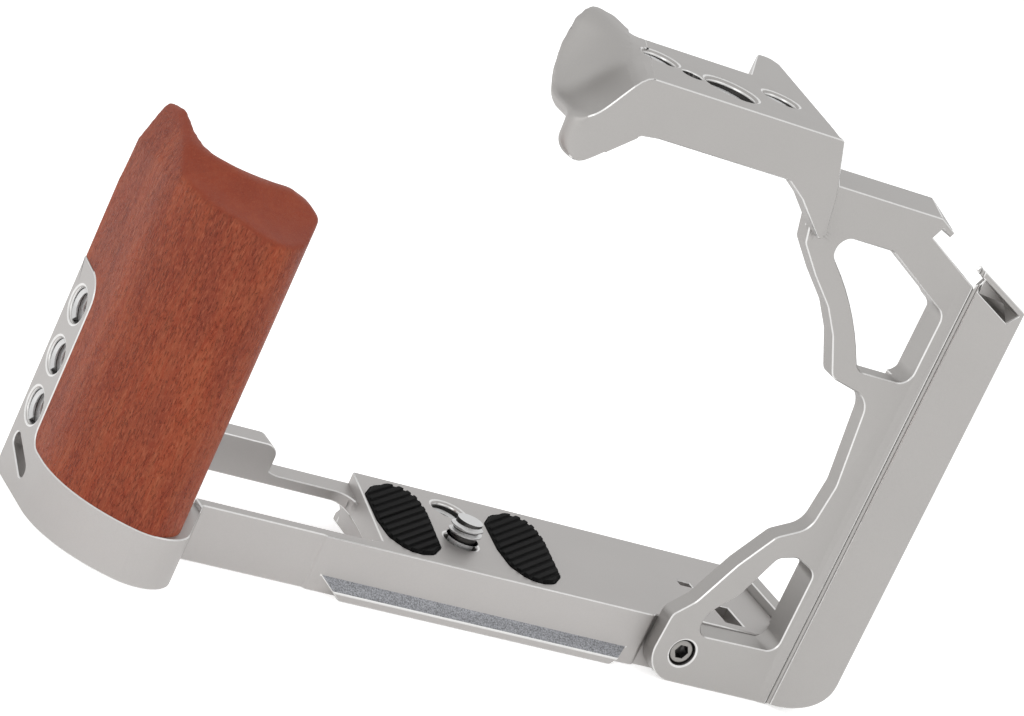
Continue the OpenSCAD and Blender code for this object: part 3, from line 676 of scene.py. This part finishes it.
class CAGE_OT_side_arm(PieceOperator, bpy.types.Operator):
    """Side arm with its channel, top arm and saddle wing"""
    bl_idname = "cage.side_arm"
    bl_label = "Side arm"

    # a thin fin stands on the plate along the wing's root: half the width of the strip
    # that it is looked for in, the least that it rises and how far under the plate it goes
    fin_strip = 0.75 * MM
    fin_rise = 0.02 * MM
    fin_depth = 0.03 * MM
    # cells of the wing, and how far it runs past the seam before it is cut there
    wing_cell = 0.34 * MM
    wing_lap = 0.6 * MM
    # distances past the seam: corners right of the first are broken with the plate, points
    # left of the second are rubbed, and the wing's own corners are broken up to the third
    plate_end = -2.5 * MM
    rub_end = -0.8 * MM
    break_end = 0.3 * MM
    # the front and back faces of the wing: depth in which their edges lie, and how far
    # from the seam the edges of the back are kept
    face_depth = 0.5 * MM
    back_ends = (-2 * MM, -5 * MM)
    # least turn, in degrees, of the wing's edges that stay a corner
    kept_corner = 38
    # points of the remeshed wing nearer than this are one point
    wing_weld = 0.08 * MM
    # half length and radius of the bore round the lock screw, whose wall is given painted shade
    lock_half = 5 * MM
    lock_reach = 3.4 * MM

    def build(self, scene):
        metal = scene.cage_metal
        bm = solid_of("side_arm")
        start, end = Vector(metal.root_front), Vector(metal.root_back)
        across = (end - start).cross(UP).normalized()
        seam = start - metal.wing_seam * across
        # slot of the painted shade on the walls of the holes and of the lock screw's bore
        dark = ARM_FINISHES.index("painted_thread_shade")

        def past(vert):
            return (vert.co - seam).dot(across)

        def past_root(vert):
            return (vert.co - start).dot(across)

        fin = {
            v for v in bm.verts
            if abs(past_root(v)) < self.fin_strip and v.co.z > start.z + self.fin_rise}
        for vert in fin:
            vert.co.z = start.z - self.fin_depth
        wing = remeshed(part_of(bm, seam + self.wing_lap * across, across, -1), self.wing_cell)
        self.shape_wing(wing, metal, past)
        wing = part_of(wing, seam, across, -1)
        bright_chamfer(bm, corner_edges(bm, METAL_CORNER, lambda e: all(
            v not in fin and past(v) > self.plate_end for v in e.verts)), metal.chamfer)
        bm = part_of(bm, seam, across, 1)
        for vert in bm.verts:
            behind = min(0, past_root(vert))
            vert.co.z = min(vert.co.z, start.z + metal.root_curve * behind ** 2)
        add_part(bm, wing)
        # painted shade on the walls of the threaded holes and of the lock screw's bore
        shade_thread_walls(
            bm, ("top_thread_left", "top_thread_right", "top_thread_large",
                 "top_locating_hole"), dark)
        lock = sum(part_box("lock_screw"), Vector()) / 2
        paint_bore(bm, lock, Vector((0, 1, 0)), self.lock_half, self.lock_reach, dark)
        finished("arm_metal", bm, "arm", ARM_FINISHES, replaces=["side_arm"])

    def shape_wing(self, wing, metal, past):
        """Rounds the wing, but not the corners of its front and back, and breaks these."""
        seen_end, kept_end = self.back_ends
        front = min(v.co.y for v in wing.verts) + self.face_depth
        back = max(v.co.y for v in wing.verts if past(v) > seen_end) - self.face_depth

        def stays(edge):
            return all(v.co.y < front or v.co.y > back and past(v) > kept_end for v in edge.verts)

        bmesh.ops.remove_doubles(wing, verts=wing.verts, dist=self.wing_weld)
        loose = {v for v in wing.verts if past(v) < self.rub_end}
        rub(wing, metal.wing_rubs, loose, corner_edges(wing, self.kept_corner, stays))
        bright_chamfer(wing, corner_edges(wing, WING_CORNER, lambda e: stays(e) and all(
            past(v) < self.break_end for v in e.verts)), metal.chamfer)


class CAGE_OT_wood_grip(PieceOperator, bpy.types.Operator):
    """Carved wooden hand grip"""
    bl_idname = "cage.wood_grip"
    bl_label = "Wooden grip"

    # height of the carved top, and how much higher each rub starts than the one before
    carved_height = 17 * MM
    rub_step = 1 * MM
    # faces that look up more than this are carved, and fully so after the fade
    least_up = 0.25
    up_fade = 0.3

    def build(self, scene):
        looks = scene.cage_wood
        bm = remeshed(solid_of("grip_block"), looks.cell)
        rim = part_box("grip_block")[1].z - self.carved_height
        for step in range(looks.rubs):
            rub(bm, 1, [v for v in bm.verts if v.co.z > rim + self.rub_step * step])
        bm.normal_update()
        carved = bm.verts.layers.float.new("carved")
        for vert in bm.verts:
            if vert.co.z > rim and vert.normal.z > self.least_up:
                vert[carved] = min(1.0, (vert.normal.z - self.least_up) / self.up_fade)
        finished(
            "wood_grip", bm, "base", ["oiled_wood"], crease=35, replaces=["grip_block"])


class CAGE_OT_threads(PieceOperator, bpy.types.Operator):
    """Threads in the tapped holes of the post, base and top arm"""
    bl_idname = "cage.threads"
    bl_label = "Threads"

    # how far the foot of the ridge goes into the wall
    lap = 0.02 * MM
    rows = (
        ("post_threads", "base", "metal", ("post_thread_1", "post_thread_2", "post_thread_3")),
        ("base_threads", "base", "metal", ("base_thread",)),
        ("top_threads", "arm", "metal_arm",
         ("top_thread_left", "top_thread_right", "top_thread_large")))

    def build(self, scene):
        sizes = scene.cage_threads
        for name, body, slot, holes in self.rows:
            bm = bmesh.new()
            for hole in holes:
                middle, axis, span, radius = hole_of(hole)
                radius *= MM
                pitch = sizes.large_pitch if radius > LARGE_RADIUS else sizes.quarter_pitch
                add_ridge(
                    bm, middle, axis, span * MM, radius + self.lap,
                    radius - sizes.depth * pitch, pitch, sizes.steps)
            bmesh.ops.recalc_face_normals(bm, faces=bm.faces)
            finished(name, bm, body, ["steel"], crease=30)


class CAGE_OT_camera_screw(PieceOperator, bpy.types.Operator):
    """Captive camera screw with its head, and the washer under it"""
    bl_idname = "cage.camera_screw"
    bl_label = "Camera screw"

    break_width = 0.25 * MM
    # plain tip above the thread, and how far the foot of the ridge goes into the core
    tip = 0.4 * MM
    lap = 0.05 * MM

    def build(self, scene):
        sizes = scene.cage_threads
        end = MOUNTS["camera_screw_end"]
        neck = end["pos_m"][2] - end["dims"]["length_mm"] * MM / 2
        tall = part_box("camera_screw")[1].z - neck
        bm = part_of(solid_of("camera_screw"), (0, 0, neck), UP, -1)
        chamfer(bm, corner_edges(bm, SMALL_CORNER), self.break_width)
        radius = end["dims"]["r_mm"] * MM
        pitch = sizes.quarter_pitch
        core = radius - sizes.depth * pitch
        stud = bmesh.ops.create_cone(
            bm, cap_ends=True, segments=64, radius1=core, radius2=core, depth=tall,
            matrix=Matrix.Translation((0, 0, neck + tall / 2)))
        # painted shade on the stud's core between the thread ridges, where the valleys lie in
        # shade
        for face in {f for v in stud["verts"] for f in v.link_faces if abs(f.normal.z) < 0.5}:
            face.material_index = PAINTED_SHADE_SLOT
        add_ridge(
            bm, Vector((0, 0, neck + (tall - self.tip) / 2)), UP, tall - self.tip,
            core - self.lap, radius, pitch, sizes.steps)
        bmesh.ops.recalc_face_normals(bm, faces=bm.faces)
        finished(
            "camera_screw_turned", bm, "camera_screw", SCREW_FINISHES, crease=30,
            replaces=["camera_screw"])
        paint_node("screw_washer", "nylon")


class CAGE_OT_pads(PieceOperator, bpy.types.Operator):
    """Ribbed rubber pads beside the camera screw"""
    bl_idname = "cage.pads"
    bl_label = "Pads"

    # the edges above this height are those of the ribs
    rib_foot = 11.3 * MM
    break_width = 0.12 * MM

    def build(self, scene):
        for node in ("pad_left", "pad_right"):
            bm = solid_of(node)
            ribs = corner_edges(bm, SMALL_CORNER, lambda e: e.verts[0].co.z > self.rib_foot)
            chamfer(bm, ribs, self.break_width)
            finished(
                node + "_rubber", bm, "base", ["ribbed_rubber"], crease=30,
                replaces=[node])


class CAGE_OT_fastenings(PieceOperator, bpy.types.Operator):
    """Lock screw, grip screws and inserts, pins, magnets and key"""
    bl_idname = "cage.fastenings"
    bl_label = "Fastenings"

    break_width = 0.15 * MM
    # the lock screw's faces nearer to its axis than this are those of its socket, given painted
    # shade
    socket_radius = 1.5 * MM

    def build(self, scene):
        bm = solid_of("lock_screw")
        chamfer(bm, corner_edges(bm, SMALL_CORNER), self.break_width)
        middle = sum(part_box("lock_screw"), Vector()) / 2
        bm.normal_update()
        # painted shade on the faces of the socket
        for face in bm.faces:
            off = face.calc_center_median() - middle
            inner = math.hypot(off.x, off.z) < self.socket_radius
            if inner and (abs(face.normal.y) < 0.5 or off.y > 0):
                face.material_index = PAINTED_SHADE_SLOT
        finished(
            "lock_screw_turned", bm, "lock_screw", LOCK_FINISHES, crease=30,
            replaces=["lock_screw"])
        finished(
            "hex_key_bent", solid_of("hex_key"), "key", ["black_oxide"],
            crease=30, replaces=["hex_key"])
        for node, material in (
                ("grip_screws", "steel"), ("grip_inserts", "brass"), ("guide_pins", "steel"),
                ("lock_tip", "brass"), ("key_magnets", "steel")):
            paint_node(node, material)


def mix_for_seen(tree, hidden, seen, surface):
    """Gives the surface one shader, and another to rays that see it straight or in a mirror."""
    rays = tree.nodes.new("ShaderNodeLightPath")
    picked = math_node(
        tree, "MAXIMUM", rays.outputs["Is Camera Ray"], rays.outputs["Is Glossy Ray"])
    picked = math_node(tree, "MAXIMUM", picked, rays.outputs["Is Transmission Ray"])
    mix = tree.nodes.new("ShaderNodeMixShader")
    for source, socket in zip((picked, hidden, seen), mix.inputs):
        tree.links.new(source, socket)
    tree.links.new(mix.outputs[0], surface)


class CAGE_OT_studio(PieceOperator, bpy.types.Operator):
    """Camera, lamps, world and floor"""
    bl_idname = "cage.studio"
    bl_label = "Studio"

    # how far the floor lies under the part
    floor_drop = 0.05 * MM

    def build(self, scene):
        looks = scene.cage_stage
        self.camera(scene, looks)
        self.world(scene, looks)
        self.floor(scene, looks)
        self.lamp(scene, "key_lamp", looks.key, looks.key_place, looks.key_size)
        self.lamp(scene, "fill_lamp", looks.fill * looks.key, looks.fill_place, looks.fill_size)

    def camera(self, scene, looks):
        """The camera that took the photo."""
        data = bpy.data.cameras.new("camera")
        data.sensor_fit = "HORIZONTAL"
        data.sensor_width = 36.0
        data.lens = looks.lens
        data.clip_start = 0.01
        data.clip_end = 50.0
        eye = bpy.data.objects.new("camera", data)
        scene.collection.objects.link(eye)
        right = Vector(looks.eye_right).normalized()
        up = Vector(looks.eye_up)
        up = (up - right * up.dot(right)).normalized()
        turn = Matrix((right, up, right.cross(up))).transposed()
        eye.matrix_world = Matrix.Translation(Vector(looks.eye)) @ turn.to_4x4()
        scene.camera = eye
        scene.view_settings.view_transform = "Standard"

    def world(self, scene, looks):
        """Plain light all round, white where it is seen."""
        world = bpy.data.worlds.new("studio")
        world.use_nodes = True
        scene.world = world
        tree = world.node_tree
        plain = tree.nodes["Background"]
        white = tree.nodes.new("ShaderNodeBackground")
        for light, strength in ((plain, looks.world), (white, 1.0)):
            light.inputs["Color"].default_value = (1, 1, 1, 1)
            light.inputs["Strength"].default_value = strength
        mix_for_seen(
            tree, plain.outputs[0], white.outputs[0],
            tree.nodes["World Output"].inputs["Surface"])

    def floor(self, scene, looks):
        """A pale floor that keeps the shadow and is white where it is seen."""
        bm = bmesh.new()
        bmesh.ops.create_grid(
            bm, x_segments=1, y_segments=1, size=looks.floor_size / 2,
            matrix=Matrix.Translation((0, 0, -self.floor_drop)))
        mesh = bpy.data.meshes.new("floor")
        bm.to_mesh(mesh)
        bm.free()
        material, tree, shader = new_material("pale_floor")
        shader.inputs["Base Color"].default_value = (*looks.floor, 1)
        shader.inputs["Roughness"].default_value = 0.9
        shader.inputs["Specular IOR Level"].default_value = 0.1
        glow = tree.nodes.new("ShaderNodeEmission")
        glow.inputs["Strength"].default_value = looks.glow
        both = tree.nodes.new("ShaderNodeAddShader")
        tree.links.new(shader.outputs[0], both.inputs[0])
        tree.links.new(glow.outputs[0], both.inputs[1])
        mix_for_seen(
            tree, shader.outputs[0], both.outputs[0],
            tree.nodes["Material Output"].inputs["Surface"])
        mesh.materials.append(material)
        floor = bpy.data.objects.new("floor", mesh)
        scene.collection.objects.link(floor)

    def lamp(self, scene, name, power, spot, size):
        """A square lamp that faces the part."""
        data = bpy.data.lights.new(name, "AREA")
        data.energy = power
        data.size = size
        lamp = bpy.data.objects.new(name, data)
        scene.collection.objects.link(lamp)
        lamp.location = spot
        facing = Vector(scene.cage_stage.aim) - Vector(spot)
        lamp.rotation_euler = facing.to_track_quat("-Z", "Y").to_euler()


OPERATORS = (
    CAGE_OT_studio, CAGE_OT_base_plate, CAGE_OT_side_arm, CAGE_OT_wood_grip, CAGE_OT_threads,
    CAGE_OT_camera_screw, CAGE_OT_pads, CAGE_OT_fastenings)
GROUPS = {
    "cage_metal": MetalLooks, "cage_wood": WoodLooks, "cage_threads": ThreadSizes,
    "cage_pads": PadLooks, "cage_stage": StageLooks}


class CAGE_PT_pieces(bpy.types.Panel):
    """Lists the pieces of the cage and their sizes and colours"""
    bl_idname = "CAGE_PT_pieces"
    bl_label = "Camera cage"
    bl_space_type = "VIEW_3D"
    bl_region_type = "UI"
    bl_category = "Camera cage"

    def draw(self, context):
        for group, kind in GROUPS.items():
            values = getattr(context.scene, group)
            box = self.layout.box()
            for key in kind.__annotations__:
                box.prop(values, key)
        for operator in OPERATORS:
            self.layout.operator(operator.bl_idname)


def register():
    for kind in (*GROUPS.values(), *OPERATORS, CAGE_PT_pieces):
        bpy.utils.register_class(kind)
    for group, kind in GROUPS.items():
        setattr(bpy.types.Scene, group, PointerProperty(type=kind))


def unregister():
    for group in GROUPS:
        delattr(bpy.types.Scene, group)
    for kind in reversed((*GROUPS.values(), *OPERATORS, CAGE_PT_pieces)):
        bpy.utils.unregister_class(kind)


def main():
    register()
    blasted_grain()
    wood_figure()
    bpy.ops.cage.studio()
    bpy.ops.cage.base_plate()
    bpy.ops.cage.side_arm()
    bpy.ops.cage.wood_grip()
    bpy.ops.cage.threads()
    bpy.ops.cage.camera_screw()
    bpy.ops.cage.pads()
    bpy.ops.cage.fastenings()


if __name__ == "__main__":
    main()
